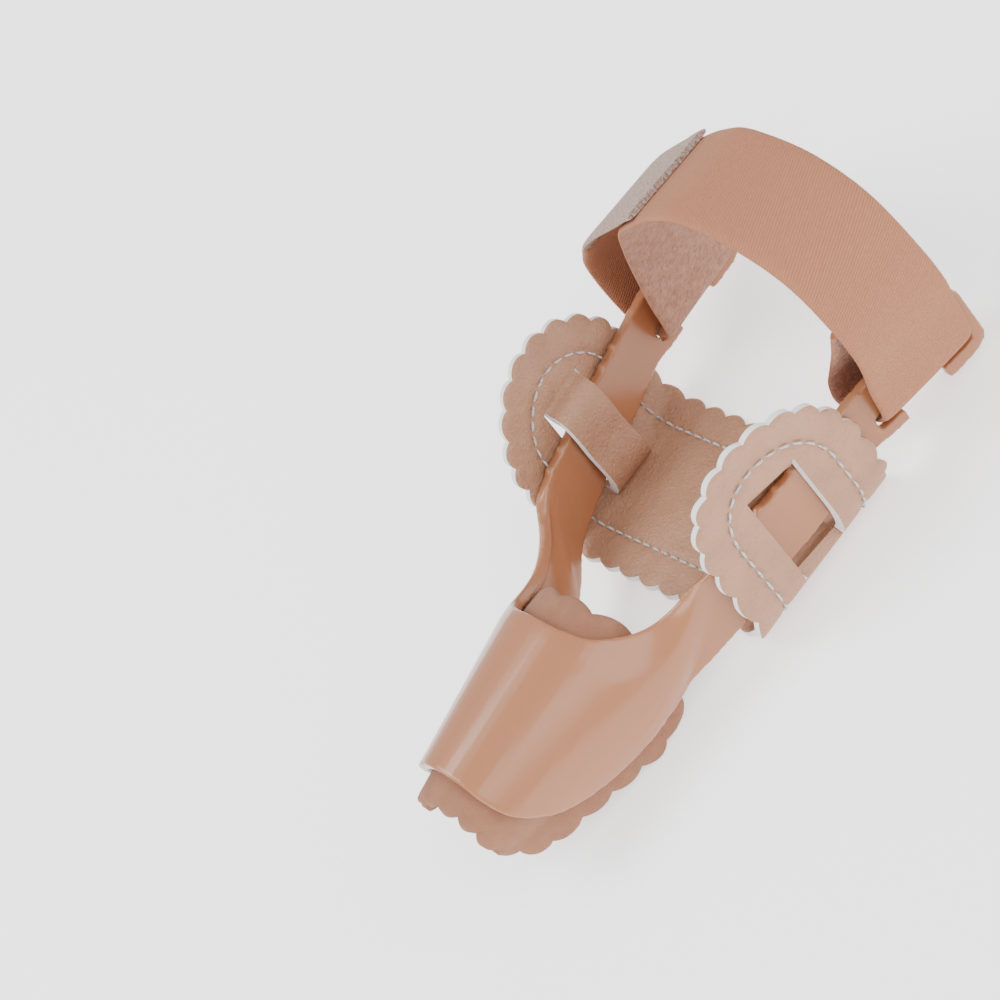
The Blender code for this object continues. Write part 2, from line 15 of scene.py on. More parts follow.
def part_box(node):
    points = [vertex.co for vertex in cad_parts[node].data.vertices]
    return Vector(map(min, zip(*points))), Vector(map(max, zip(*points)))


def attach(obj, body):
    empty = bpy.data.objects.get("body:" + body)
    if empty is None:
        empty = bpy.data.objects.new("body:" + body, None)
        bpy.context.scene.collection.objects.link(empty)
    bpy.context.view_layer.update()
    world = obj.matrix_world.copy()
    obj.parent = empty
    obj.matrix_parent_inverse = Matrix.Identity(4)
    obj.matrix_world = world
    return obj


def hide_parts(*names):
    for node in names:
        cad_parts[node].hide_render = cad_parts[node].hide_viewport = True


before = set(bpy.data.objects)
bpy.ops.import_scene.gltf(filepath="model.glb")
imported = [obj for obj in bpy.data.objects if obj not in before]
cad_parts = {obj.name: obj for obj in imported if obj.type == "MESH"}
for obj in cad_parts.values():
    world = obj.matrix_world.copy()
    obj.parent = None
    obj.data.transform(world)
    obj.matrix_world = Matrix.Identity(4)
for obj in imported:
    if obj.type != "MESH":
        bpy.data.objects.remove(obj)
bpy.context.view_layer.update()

# %% [markdown]
# ## Sizes
# The sizes are the solids' own, in upright axes: X across the foot, Y from the toe to the heel, Z up.
# `lay` then tips them as the splint lies. The strap's arch and the tab's end are drawn to their own
# route here, a few millimetres from the solids. One could model on the tipped splint directly, but
# upright the two arms are near mirror images, and a table of shares is easier to read.

# %%
# Driving sizes. Lengths in the tables are shares of these.
MM = 0.001

FRAME_LENGTH = 140 * MM     # front edge of the shield to the ends of the arms
SHIELD_LENGTH = 37 * MM     # front edge to the crown of the fork's rim
SHIELD_RADIUS = 21.2 * MM     # at the rim; the front edge has the radius below
FRONT_RADIUS = 14.2 * MM
ARM_SPREAD = 80 * MM        # between the middles of the arms' walls at the strap
LOOP_HEIGHT = 72 * MM       # the strap's arch over the middle of the toe
REST_PITCH = 12.45            # degrees that the frame is tipped towards the toe as it lies

FRAME_WALL = 2.8 * MM
NUB_RADIUS = 1.0 * MM
NUB_COUNT = 7
SLOT_HEIGHT = 3.5 * MM
SLOT_CLEARANCE = 0.6 * MM   # beside each edge of the strap
PRONG_GAP = 12 * MM         # the opening between the two prongs below the slot

LINER_THICKNESS = 3.0 * MM
LINER_GAP = 0.35 * MM
LINER_REACH = 6 * MM        # how far it stands out past the front edge

PAD_THICKNESS = 2.4 * MM
PAD_WIDTH = 43 * MM         # along the foot
PAD_RISE = 42 * MM          # a lobe's top above the pad's floor
PAD_BEND = 6.5 * MM
PAD_SLOPE = 0.10            # rise of its floor towards the heel, per length
PAD_GAP = 0.4 * MM          # between the pad and an arm
BAND_WIDTH = 12 * MM        # the strip between two slits, along the foot
SLIT_WIDTH = 0.6 * MM
SCALLOP_PITCH = 7 * MM
SCALLOP_RISE = 1.4 * MM

STRAP_WIDTH = 26 * MM
STRAP_THICKNESS = 2.0 * MM
STRAP_GAP = 0.35 * MM
TAB_THICKNESS = 1.4 * MM

COLUMNS = 13

# One side of the frame, from the crown to the arm. Angles are from level at the toe's centre, growth
# is a share of the shield's radius there, and along is a share of the shield's length from the rim.
SHIELD_ROWS = (
    # rim angle, rim growth, rim along, edge angle, edge along, left edge angle, left edge along
    (90.0, 1.00, 0.014, 90.0, -1.00, 90.0, -1.00),
    (70.0, 1.00, 0.022, 64.0, -1.00, 64.0, -1.00),
    (52.0, 1.00, 0.075, 40.0, -1.00, 42.0, -1.00),
    (40.0, 1.02, 0.190, 15.0, -0.95, 25.0, -0.98),
    (34.0, 1.06, 0.285, -8.0, -0.80, 10.0, -0.92),
    (31.0, 1.11, 0.370, -20.0, -0.64, -2.0, -0.74),
    (30.0, 1.18, 0.450, -25.0, -0.46, -9.0, -0.52),
    (30.0, 1.27, 0.525, -25.0, -0.28, -11.0, -0.30),
    (31.0, 1.38, 0.595, -21.0, -0.11, -11.0, -0.11),
    (31.5, 1.51, 0.655, -16.0, 0.10, -10.0, 0.10),
    (31.5, 1.62, 0.716, -12.6, 0.28, -10.0, 0.28),
)

# Each row: share of the frame's length behind the rim for the upper and the lower edge, shares of
# half the spread for their distance from the middle, shares of the spread for their heights.
ARM_ROWS = (
    # upper along, lower along, upper out, lower out, upper height, lower height
    (0.214, 0.122, 0.765, 0.595, 0.238, -0.032),
    (0.240, 0.178, 0.785, 0.712, 0.249, 0.012),
    (0.270, 0.236, 0.800, 0.768, 0.256, 0.042),
    (0.304, 0.293, 0.820, 0.808, 0.267, 0.068),
    (0.345, 0.345, 0.850, 0.845, 0.278, 0.086),
    (0.400, 0.400, 0.884, 0.880, 0.292, 0.108),
    (0.455, 0.455, 0.912, 0.910, 0.306, 0.130),
    (0.500, 0.500, 0.938, 0.936, 0.317, 0.146),
    (0.525, 0.525, 0.952, 0.950, 0.323, 0.140),
    (0.560, 0.560, 0.972, 0.970, 0.329, 0.138),
    (0.620, 0.620, 1.000, 0.998, 0.337, 0.136),
    (0.680, 0.680, 1.024, 1.022, 0.341, 0.133),
    (0.712, 0.712, 1.035, 1.033, 0.341, 0.136),
    (0.728, 0.728, 1.040, 1.038, 0.335, 0.146),
    (0.736, 0.736, 1.042, 1.040, 0.322, 0.164),
)

# The strap's way across the foot, from its sewn end inside the right loop to the end that the tab
# follows: shares of half the spread and of the loop's height.
STRAP_ROUTE = (
    (1.120, 0.628),
    (1.010, 0.530),
    (0.880, 0.430),
    (0.735, 0.315),
    (0.690, 0.240),
    (0.770, 0.206),
    (0.900, 0.214),
    (1.000, 0.219),
    (1.082, 0.250),
    (1.145, 0.380),
    (1.215, 0.520),
    (1.185, 0.680),
    (1.060, 0.850),
    (0.780, 0.955),
    (0.325, 0.985),
    (0.020, 0.930),
    (-0.160, 0.880),
    (-0.330, 0.826),
    (-0.440, 0.783),
    (-0.495, 0.735),
    (-0.640, 0.570),
    (-0.795, 0.372),
    (-0.838, 0.280),
    (-0.885, 0.228),
    (-1.000, 0.2165),
    (-1.115, 0.221),
    (-1.200, 0.256),
    (-1.235, 0.318),
    (-1.245, 0.380),
    (-1.200, 0.500),
    (-1.070, 0.590),
)
TAB_BEND = (-0.860, 0.680)
TAB_SHARES = (-0.380, -0.300, -0.220, -0.150)

def tipped(points):
    """Upright points turned by the resting pitch about X."""
    turn = np.radians(REST_PITCH)
    x, y, z = np.asarray(points, float).T
    return np.column_stack([x, y * np.cos(turn) + z * np.sin(turn), z * np.cos(turn) - y * np.sin(turn)])


def lay(points):
    """Upright points as they lie: tipped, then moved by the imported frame's own seat."""
    return tipped(points) - SEAT


# %% [markdown]
# ## Curves and grids
# Every sheet and band below starts as a few points, and a smooth curve has to pass through each of
# them. A Bezier curve object would do it too. A Catmull-Rom curve worked out with numpy gives plain
# arrays, which the grids and the strap can share.

# %%
def spline(points, samples):
    """Points spaced evenly along a centripetal Catmull-Rom curve through the given points."""
    p = np.asarray(points, float)
    p = np.vstack([2 * p[0] - p[1], p, 2 * p[-1] - p[-2]])
    dense = []
    for k in range(1, len(p) - 2):
        p0, p1, p2, p3 = p[k - 1:k + 3]
        t0 = 0.0
        t1 = t0 + max(np.linalg.norm(p1 - p0), 1e-9) ** 0.5
        t2 = t1 + max(np.linalg.norm(p2 - p1), 1e-9) ** 0.5
        t3 = t2 + max(np.linalg.norm(p3 - p2), 1e-9) ** 0.5
        t = np.linspace(t1, t2, 24, endpoint=False)[:, None]
        a1 = (t1 - t) / (t1 - t0) * p0 + (t - t0) / (t1 - t0) * p1
        a2 = (t2 - t) / (t2 - t1) * p1 + (t - t1) / (t2 - t1) * p2
        a3 = (t3 - t) / (t3 - t2) * p2 + (t - t2) / (t3 - t2) * p3
        b1 = (t2 - t) / (t2 - t0) * a1 + (t - t0) / (t2 - t0) * a2
        b2 = (t3 - t) / (t3 - t1) * a2 + (t - t1) / (t3 - t1) * a3
        dense.append((t2 - t) / (t2 - t1) * b1 + (t - t1) / (t2 - t1) * b2)
    dense = np.vstack(dense + [p[-2:-1]])
    steps = np.r_[0, np.cumsum(np.linalg.norm(np.diff(dense, axis=0), axis=1))]
    wanted = np.linspace(0, steps[-1], samples)
    return np.column_stack([np.interp(wanted, steps, dense[:, c]) for c in range(dense.shape[1])])


def grid_normals(grid):
    """Unit cross product of the grid's two directions."""
    along = np.gradient(grid, axis=0)
    across = np.gradient(grid, axis=1)
    across /= np.linalg.norm(across, axis=2, keepdims=True)
    normal = np.cross(across, along)
    normal /= np.linalg.norm(normal, axis=2, keepdims=True)
    return normal


# %% [markdown]
# ## The frame's middle surface
# The real fork is one moulded wall of even thickness, so its middle surface says it all. One could
# box-model it and add Solidify. Here it is a function of two parameters: rows run from the left arm's
# end round the shield to the right arm's end, and columns from the fork's rim to the outer edge.

# %%
def shield_radius(along):
    """The shield's middle radius at a length behind the rim, smaller towards the front."""
    share = np.clip(-np.asarray(along) / SHIELD_LENGTH, 0, 1.3)
    return SHIELD_RADIUS + (FRONT_RADIUS - SHIELD_RADIUS) * share


def shield_row(row, side):
    """An arc round the toe: its angle, length and radius change evenly from the rim to the edge."""
    rim_angle, rim_growth, rim_along, angle, along, left_angle, left_along = row
    if side < 0:
        angle, along = left_angle, left_along
    share = np.linspace(0, 1, COLUMNS)
    turn = np.radians(rim_angle + (angle - rim_angle) * share)
    lengths = (rim_along + (along - rim_along) * share) * SHIELD_LENGTH
    growth = rim_growth + (1 - rim_growth) * share * (2 - share)
    radius = shield_radius(lengths) * growth
    return np.column_stack([side * radius * np.cos(turn), lengths, radius * np.sin(turn)])


def arm_row(row, side):
    """A straight row across an arm, from its upper edge to its lower edge."""
    upper_along, lower_along, upper_out, lower_out, upper_height, lower_height = row
    share = np.linspace(0, 1, COLUMNS)
    out = (upper_out + (lower_out - upper_out) * share) * ARM_SPREAD / 2
    along = (upper_along + (lower_along - upper_along) * share) * FRAME_LENGTH
    height = (upper_height + (lower_height - upper_height) * share) * ARM_SPREAD
    return np.column_stack([side * out, along, height])


def frame_grid(samples):
    """The frame's middle surface, from the left arm's end round the shield to the right arm's end."""
    left = [arm_row(row, -1) for row in ARM_ROWS[::-1]] + [shield_row(row, -1) for row in SHIELD_ROWS[::-1]]
    right = [shield_row(row, 1) for row in SHIELD_ROWS[1:]] + [arm_row(row, 1) for row in ARM_ROWS]
    keys = np.array(left + right)
    steps = np.linalg.norm(np.diff(keys, axis=0), axis=2).mean(1)
    place = np.r_[0, np.cumsum(steps)]
    wanted = np.linspace(0, place[-1], samples)
    columns = []
    for column in range(keys.shape[1]):
        dense = spline(np.column_stack([keys[:, column] / MM, place / MM * 3]), 1200)
        at = dense[:, 3] / 3 * MM
        columns.append(np.column_stack([np.interp(wanted, at, dense[:, c] * MM) for c in range(3)]))
    return np.array(columns).transpose(1, 0, 2)


def arm_at(along, which):
    """Half the distance between the arms, or an edge's height, at lengths behind the rim."""
    rows = np.array(ARM_ROWS)
    column = {"out": 2, "upper": 4, "lower": 5}[which]
    scale = ARM_SPREAD / 2 if which == "out" else ARM_SPREAD
    key = 1 if which == "lower" else 0
    return np.interp(along, rows[:, key] * FRAME_LENGTH, rows[:, column] * scale)


STRAP_MIDDLE = 0.618 * FRAME_LENGTH
SLOT_MIDDLE = 0.219 * LOOP_HEIGHT


def nub_places():
    """Middles of the nubs along the upper edges of both arms."""
    places = []
    for side in (-1, 1):
        for along in np.linspace(0.232, 0.450, NUB_COUNT) * FRAME_LENGTH:
            out = arm_at(along, "out")
            places.append((side * out, along, arm_at(along, "upper") - 0.1 * NUB_RADIUS))
    return places


def slot_outline():
    """The open slot's edge on an arm as lengths behind the rim and heights, from one prong to the other."""
    reach = STRAP_WIDTH / 2 + SLOT_CLEARANCE
    low, high = SLOT_MIDDLE - SLOT_HEIGHT / 2, SLOT_MIDDLE + SLOT_HEIGHT / 2
    near, far = STRAP_MIDDLE - reach, STRAP_MIDDLE + reach
    middle = STRAP_MIDDLE - 0.05 * STRAP_WIDTH
    first, last = middle - PRONG_GAP / 2, middle + PRONG_GAP / 2
    return np.array([(last, low), (far, low), (far, high), (near, high), (near, low), (first, low)])


FLAT_HEIGHT = 24 * MM       # the flattened frame's height; only its proportion to a row matters


def frame_sheet(grid, half):
    """Points and faces of the frame: its middle surface flattened, slotted, and laid back."""
    normal = grid_normals(grid)
    rows = len(grid)
    step = MM
    across = FLAT_HEIGHT
    right = np.arange(rows)[grid[:, 0, 0] > 0]
    right = right[grid[right, 0, 1] > 0.35 * FRAME_LENGTH]

    def flat_place(flat, offset):
        at = np.clip(flat[:, 0] / step, 0, rows - 1)
        low = np.minimum(at.astype(int), rows - 2)
        share = (at - low)[:, None]
        column = np.clip(flat[:, 1] / across, 0, 1) * (COLUMNS - 1)
        left = np.minimum(column.astype(int), COLUMNS - 2)
        side = (column - left)[:, None]

        def blend(field):
            first = field[low, left] * (1 - side) + field[low, left + 1] * side
            second = field[low + 1, left] * (1 - side) + field[low + 1, left + 1] * side
            return first * (1 - share) + second * share

        out = blend(normal)
        out /= np.linalg.norm(out, axis=1, keepdims=True)
        return blend(grid) + out * offset

    notch = []
    for along, height in slot_outline():
        row = np.interp(along, grid[right, 0, 1], right)
        upper = np.interp(row, np.arange(rows), grid[:, 0, 2])
        lower = np.interp(row, np.arange(rows), grid[:, -1, 2])
        notch.append((row * step, (upper - height) / (upper - lower) * across))
    notch = np.array(notch)
    end = (rows - 1) * step
    first = np.column_stack([np.linspace(0, end, rows), np.zeros(rows)])
    last = np.column_stack([np.full(7, end), np.linspace(0, across, 8)[1:]])
    lower = first[::-1] + (0, across)
    lower = lower[(lower[:, 0] < notch[0, 0] - 0.3 * step) | (lower[:, 0] > notch[0, 0] + 0.3 * step)]
    opening = (notch[-1, 0], notch[0, 0])
    mirrored = np.column_stack([end - notch[::-1, 0], notch[::-1, 1]])
    tail = lower[lower[:, 0] > opening[1] + 0.4 * step][1:]
    middle = lower[(lower[:, 0] < opening[0] - 0.4 * step) & (lower[:, 0] > end - opening[0] + 0.4 * step)]
    head = lower[lower[:, 0] < end - opening[1] - 0.4 * step][:-1]
    cap = last[::-1]
    edge = np.vstack([
        first, last, tail,
        [(opening[1], across)], dense(notch, step), [(opening[0], across)], middle,
        [(end - opening[0], across)], dense(mirrored, step), [(end - opening[1], across)], head,
        [(0, across)], cap[1:] * (0, 1),
    ])
    return sheet(edge[::-1], [], (1.5 * step, 1.3 * MM), flat_place, half)


def dense(points, step):
    """The points of an open line with more of them between its corners."""
    line = [points[0]]
    for a, b in zip(points[:-1], points[1:]):
        count = max(1, round(np.hypot(*(b - a)) / (1.2 * step)))
        line += [a + (b - a) * k / count for k in range(1, count + 1)]
    return np.array(line)


# %% [markdown]
# ## Sheets cut to an edge
# The pad and the liner are cut from flat foam, with scallops round them. The same is done here: a flat
# outline is filled with triangles, then each point is laid in space, once for either face. Cutting the
# sheet flat keeps slits and scallops exact, which a Boolean on a curved sheet would not.

# %%
def inside(points, polygon):
    """Whether each 2-D point is inside the polygon."""
    x, y = points[:, 0, None], points[:, 1, None]
    x0, y0 = polygon[:, 0], polygon[:, 1]
    x1, y1 = np.roll(x0, -1), np.roll(y0, -1)
    cross = (y0 > y) != (y1 > y)
    with np.errstate(divide="ignore", invalid="ignore"):
        at = (x1 - x0) * (y - y0) / (y1 - y0) + x0
    return (cross & (x < at)).sum(1) % 2 == 1


def edge_distance(points, border):
    """For each 2-D point, the distance to the nearest point of an edge."""
    return np.hypot(points[:, None, 0] - border[:, 0], points[:, None, 1] - border[:, 1]).min(1)


def sheet(edge, holes, spacing, place, half):
    """A sheet cut to an edge, with holes, laid by place: points, faces and the count of side faces."""
    edges = [np.asarray(edge)] + [np.asarray(hole) for hole in holes]
    low, high = edges[0].min(0), edges[0].max(0)
    xs = np.arange(low[0], high[0], spacing[0]) + spacing[0] / 2
    ys = np.arange(low[1], high[1], spacing[1]) + spacing[1] / 2
    grid = np.stack(np.meshgrid(xs, ys, indexing="ij"), -1).reshape(-1, 2)
    keep = inside(grid, edges[0])
    for hole in edges[1:]:
        keep &= ~inside(grid, hole)
    border = np.concatenate(edges)
    grid = grid[keep]
    grid = grid[edge_distance(grid, border) > 0.4 * min(spacing)]
    loops, start = [], 0
    for loop in edges:
        loops.append(list(range(start, start + len(loop))))
        start += len(loop)
    verts = [Vector(p / MM) for p in np.vstack([border, grid])]
    flat, _, faces, *_ = delaunay_2d_cdt(verts, [], loops, 2, 1e-5)
    flat = np.array([tuple(v) for v in flat]) * MM
    faces = [tuple(f) for f in faces]
    count = len(flat)
    used = dict.fromkeys((a, b) for face in faces for a, b in zip(face, face[1:] + face[:1]))
    rims = [(a, b) for a, b in used if (b, a) not in used]
    top, under = place(flat, half), place(flat, -half)
    solid_faces = faces + [tuple(count + v for v in face[::-1]) for face in faces]
    sides = [(b, a, count + a, count + b) for a, b in rims]
    return np.vstack([top, under]), solid_faces + sides, len(sides)


def scalloped(length, width, corner, pitch, rise, samples):
    """A rounded rectangle's edge, in 2-D round its middle, with round scallops outside it."""
    corner = min(corner, width / 2 - 1e-6, length / 2 - 1e-6)
    legs = []
    for sx, sy, first in ((1, 1, 0), (-1, 1, 90), (-1, -1, 180), (1, -1, 270)):
        middle = np.array([sx * (length / 2 - corner), sy * (width / 2 - corner)])
        turn = np.radians(np.linspace(first, first + 90, 60))
        legs.append(middle + corner * np.column_stack([np.cos(turn), np.sin(turn)]))
    ring = np.vstack(legs + [legs[0][:1]])
    steps = np.r_[0, np.cumsum(np.hypot(*np.diff(ring, axis=0).T))]
    count = 2 * round(steps[-1] / pitch / 2)
    s = np.arange(count * samples) / (count * samples) * steps[-1]
    plain = np.column_stack([np.interp(s, steps, ring[:, c]) for c in (0, 1)])
    ahead = np.column_stack([np.interp((s + 1e-5) % steps[-1], steps, ring[:, c]) for c in (0, 1)])
    behind = np.column_stack([np.interp((s - 1e-5) % steps[-1], steps, ring[:, c]) for c in (0, 1)])
    tangent = ahead - behind
    tangent /= np.hypot(*tangent.T)[:, None]
    out = np.column_stack([tangent[:, 1], -tangent[:, 0]])
    lobes = np.abs(np.sin(np.pi * s / steps[-1] * count)) ** 0.8
    return plain + out * (rise * (lobes - 0.9))[:, None]


# %% [markdown]
# ## The seat
# The splint rests on its liner and its pad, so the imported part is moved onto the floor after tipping.
# That move is worked out from the frame itself: the lowest corner of its CAD node against the lowest
# corner of the same sheet, tipped but not moved.

# %%
CAD_ROWS = 128
upright = frame_sheet(frame_grid(CAD_ROWS), FRAME_WALL / 2)[0]
SEAT = tipped(upright).min(0) - np.array(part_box("splint_frame")[0])
print("seat in mm", (SEAT / MM).round(2))

# %% [markdown]
# ## Where the liner, the pad and the strap lie
# The liner curls round the toe inside the shield. The pad is a stadium bent up at both arms, and a
# strip between two slits goes over each arm. The strap turns back through both slots. Each gets a
# place function here: flat numbers in, a point in space out.

# %%
def liner_place(flat, offset):
    """The liner under the shield: first number along the foot, second round the toe from its crown."""
    along, around = flat[:, 0], flat[:, 1]
    radius = shield_radius(along) - FRAME_WALL / 2 - LINER_GAP - LINER_THICKNESS / 2
    typical = 0.5 * (SHIELD_RADIUS + FRONT_RADIUS) - 3 * MM
    lowest = np.radians(-26.0)
    turn = np.maximum(np.pi / 2 - around / typical, lowest)
    straight = np.maximum(around - (np.pi / 2 - lowest) * typical, 0)
    radius = radius + offset
    x = radius * np.cos(turn) + 0.12 * straight
    return np.column_stack([x, along, radius * np.sin(turn) - 0.99 * straight])


LINER_SPAN = 66 * MM        # round the toe
LINER_CORNER = 14 * MM
LINER_PITCH = 8 * MM        # of its scallops
LINER_SHIFT = 4 * MM        # towards its hanging side
LINER_TAIL = 9 * MM         # behind the rim
LINER_SWEEP = 5 * MM        # how far its rear corners trail
LINER_SWEEP_REACH = 24 * MM


def liner_edge(samples):
    """The liner's scalloped edge. The rear trails by the square of the distance from the crown."""
    length = SHIELD_LENGTH + LINER_REACH + LINER_TAIL
    edge = scalloped(length, LINER_SPAN, LINER_CORNER, LINER_PITCH, SCALLOP_RISE, samples)
    edge[:, 0] += length / 2 - SHIELD_LENGTH - LINER_REACH
    edge[:, 1] += LINER_SHIFT
    rear = np.clip(edge[:, 0] / LINER_TAIL, 0, 1)
    edge[:, 0] += rear * LINER_SWEEP * np.clip(np.abs(edge[:, 1]) / LINER_SWEEP_REACH, 0, 1) ** 2
    return edge


PAD_MIDDLE = 0.335 * FRAME_LENGTH
PAD_FLOOR = -0.006 * ARM_SPREAD


def pad_section(along, samples=700):
    """The pad's middle line across the foot at one length, and the length along that line at each of its
    points.
    """
    wall = arm_at(along, "out") + FRAME_WALL / 2 + PAD_GAP + PAD_THICKNESS / 2
    bend, floor = PAD_BEND, PAD_FLOOR
    lean = 0.02 * ARM_SPREAD
    half = [
        (0, floor), (0.5 * (wall - bend), floor + 0.1 * MM), (wall - bend, floor + 0.6 * MM),
        (wall - 0.30 * bend, floor + 0.36 * bend), (wall, floor + 1.1 * bend),
        (wall, floor + 0.5 * PAD_RISE), (wall, floor + 0.75 * PAD_RISE), (wall + lean, floor + PAD_RISE),
    ]
    plain = spline(half, samples)
    steps = np.r_[0, np.cumsum(np.hypot(*np.diff(plain, axis=0).T))]
    return plain, steps


def strip_section(along):
    """The way of the strip between two slits, over the arm's inner face, on one side."""
    plain, steps = pad_section(along)
    out = arm_at(along, "out")
    low, high = arm_at(along, "lower"), arm_at(along, "upper")
    clear = FRAME_WALL / 2 + PAD_GAP + PAD_THICKNESS / 2
    first, last = slit_span()
    start = [np.interp(first, steps, plain[:, c]) for c in (0, 1)]
    end = [np.interp(last, steps, plain[:, c]) for c in (0, 1)]
    return np.array([
        start, (out - 0.75 * clear, low - 1.5 * clear), (out - 1.5 * clear, low - 0.2 * clear),
        (out - 1.15 * clear, 0.5 * (low + high)), (out - 1.2 * clear, high - 0.3 * clear),
        (out - 0.75 * clear, high + 1.1 * clear), (out + 0.45 * clear, high + 1.5 * clear), end,
    ])


def slit_span():
    """Where the slits begin and end, as lengths along the pad from its middle."""
    plain, steps = pad_section(PAD_MIDDLE)
    low, high = arm_at(PAD_MIDDLE, "lower"), arm_at(PAD_MIDDLE, "upper")
    clear = FRAME_WALL / 2 + PAD_GAP + PAD_THICKNESS / 2
    wall = plain[:, 0] > arm_at(PAD_MIDDLE, "out") - 2 * clear
    first = np.interp(low - 1.3 * clear, plain[wall][:, 1], steps[wall])
    last = np.interp(high + 1.95 * clear, plain[wall][:, 1], steps[wall])
    return first, last


def normals_2d(line):
    """The line's unit tangent turned by a quarter turn."""
    tangent = np.gradient(line, axis=0)
    tangent /= np.hypot(*tangent.T)[:, None]
    return np.column_stack([tangent[:, 1], -tangent[:, 0]])


def pad_place(flat, offset):
    """The pad round the arms: first number across the foot along the pad, second along the foot."""
    side = np.where(flat[:, 0] < 0, -1.0, 1.0)
    reach, along = np.abs(flat[:, 0]), flat[:, 1] + PAD_MIDDLE
    first, last = slit_span()
    plain, steps = pad_section(PAD_MIDDLE)
    out = normals_2d(plain)
    x = np.interp(reach, steps, plain[:, 0])
    z = np.interp(reach, steps, plain[:, 1])
    nx = np.interp(reach, steps, out[:, 0])
    nz = np.interp(reach, steps, out[:, 1])
    beyond = np.maximum(reach - steps[-1], 0)
    x, z = x - beyond * out[-1, 1], z + beyond * out[-1, 0]
    strip = (np.abs(flat[:, 1]) < BAND_WIDTH / 2 + 1e-7) & (reach > first) & (reach < last)
    lane = spline(strip_section(PAD_MIDDLE), 600)
    lane_out = normals_2d(lane)
    share = np.linspace(0, 1, len(lane))
    at = np.clip((reach - first) / (last - first), 0, 1)
    x = np.where(strip, np.interp(at, share, lane[:, 0]), x)
    z = np.where(strip, np.interp(at, share, lane[:, 1]), z)
    nx = np.where(strip, np.interp(at, share, lane_out[:, 0]), nx)
    nz = np.where(strip, np.interp(at, share, lane_out[:, 1]), nz)
    size = np.hypot(nx, nz)
    follow = arm_at(along, "out") - arm_at(PAD_MIDDLE, "out")
    x = x + follow * np.clip(z / (0.12 * ARM_SPREAD), 0, 1) * np.clip(x / (0.3 * ARM_SPREAD), 0, 1)
    low = np.clip(1 - (z - PAD_FLOOR) / (0.3 * PAD_RISE), 0, 1)
    z = z + PAD_SLOPE * (along - PAD_MIDDLE) * np.where(strip, 0, low)
    x, z = x + nx / size * offset, z + nz / size * offset
    return np.column_stack([side * x, along, z])


def slit_holes():
    """The four slits as narrow holes in the flat pad."""
    first, last = slit_span()
    holes = []
    for side in (-1, 1):
        for edge in (-1, 1):
            a = side * first
            b = side * last
            inner = edge * BAND_WIDTH / 2
            outer = edge * (BAND_WIDTH / 2 + SLIT_WIDTH)
            steps = np.linspace(0, 1, 17)
            holes.append(np.vstack([
                np.column_stack([a + (b - a) * steps, np.full(17, inner)]),
                np.column_stack([b + (a - b) * steps, np.full(17, outer)]),
            ]))
    return holes


def pad_length():
    """Twice the length of the pad's middle line on one side."""
    _, steps = pad_section(PAD_MIDDLE)
    return 2 * steps[-1]


def strap_line(samples):
    """The smooth curve through the strap's route."""
    scale = np.array([ARM_SPREAD / 2, LOOP_HEIGHT])
    return spline(np.array(STRAP_ROUTE) * scale, samples)


def tab_line(samples):
    """The tab's way, from the strap's end up and over onto the arch."""
    scale = np.array([ARM_SPREAD / 2, LOOP_HEIGHT])
    line = strap_line(2000)
    out = normals_2d(line)
    arch = np.arange(len(line)) < 0.82 * len(line)
    arch &= line[:, 1] > 0.70 * LOOP_HEIGHT
    ahead = (line[-1] - line[-12]) / np.hypot(*(line[-1] - line[-12]))
    start = line[-1] + ahead * 2 * STRAP_GAP
    points = [start, start + ahead * MM, np.array(TAB_BEND) * scale]
    lift = STRAP_THICKNESS / 2 + TAB_THICKNESS / 2 + 0.4 * STRAP_GAP
    for share in TAB_SHARES:
        nearest = np.where(arch, np.abs(line[:, 0] - share * scale[0]), 9.0).argmin()
        normal = out[nearest] * np.sign(out[nearest][1])
        points.append(line[nearest] + normal * lift)
    return spline(points, samples)


# %% [markdown]
# ## Objects and surfaces
# Moulded plastic is smooth with a soft gloss, leather has a fine grain, elastic shows ribs across the
# band, and the loop side is brushed. Photographs wrapped on the mesh would not keep to scale, so each
# finish is a short sum of noises and cells. `Wire` lets sockets be added and multiplied like numbers.

# %%
def build(name, points, faces, finishes, which=None, uv=None, smooth=1.0):
    """A mesh object in the row frame. which gives each face's finish, uv each point's own place in mm."""
    mesh = bpy.data.meshes.new(name)
    mesh.from_pydata(lay(points).tolist(), [], faces)
    for finish in finishes:
        mesh.materials.append(finish)
    if which is not None:
        mesh.polygons.foreach_set("material_index", np.asarray(which, dtype=np.int32))
    if uv is not None:
        layer = mesh.uv_layers.new(name="lie")
        loops = np.empty(len(mesh.loops), dtype=np.int32)
        mesh.loops.foreach_get("vertex_index", loops)
        layer.data.foreach_set("uv", np.asarray(uv, float)[loops].ravel())
    shape = bmesh.new()
    shape.from_mesh(mesh)
    bmesh.ops.recalc_face_normals(shape, faces=shape.faces)
    shape.to_mesh(mesh)
    shape.free()
    mesh.shade_smooth()
    mesh.set_sharp_from_angle(angle=smooth)
    made = bpy.data.objects.new(name, mesh)
    bpy.context.scene.collection.objects.link(made)
    print(name + ":", len(mesh.polygons), "faces")
    return made


class Wire:
    """A shader socket that takes + and * with numbers and other sockets, from either side."""

    def __init__(self, tree, socket):
        self.tree = tree
        self.socket = socket

    def math(self, kind, *others):
        node = self.tree.nodes.new("ShaderNodeMath")
        node.operation = kind
        for place, value in enumerate((self, *others)):
            if isinstance(value, Wire):
                self.tree.links.new(value.socket, node.inputs[place])
            else:
                node.inputs[place].default_value = value
        return Wire(self.tree, node.outputs[0])

    def __add__(self, other):
        return self.math("ADD", other)

    def __mul__(self, other):
        return self.math("MULTIPLY", other)

    __radd__ = __add__
    __rmul__ = __mul__


WAVE_SCALE = 0.314          # a wave texture's scale for one rib per unit


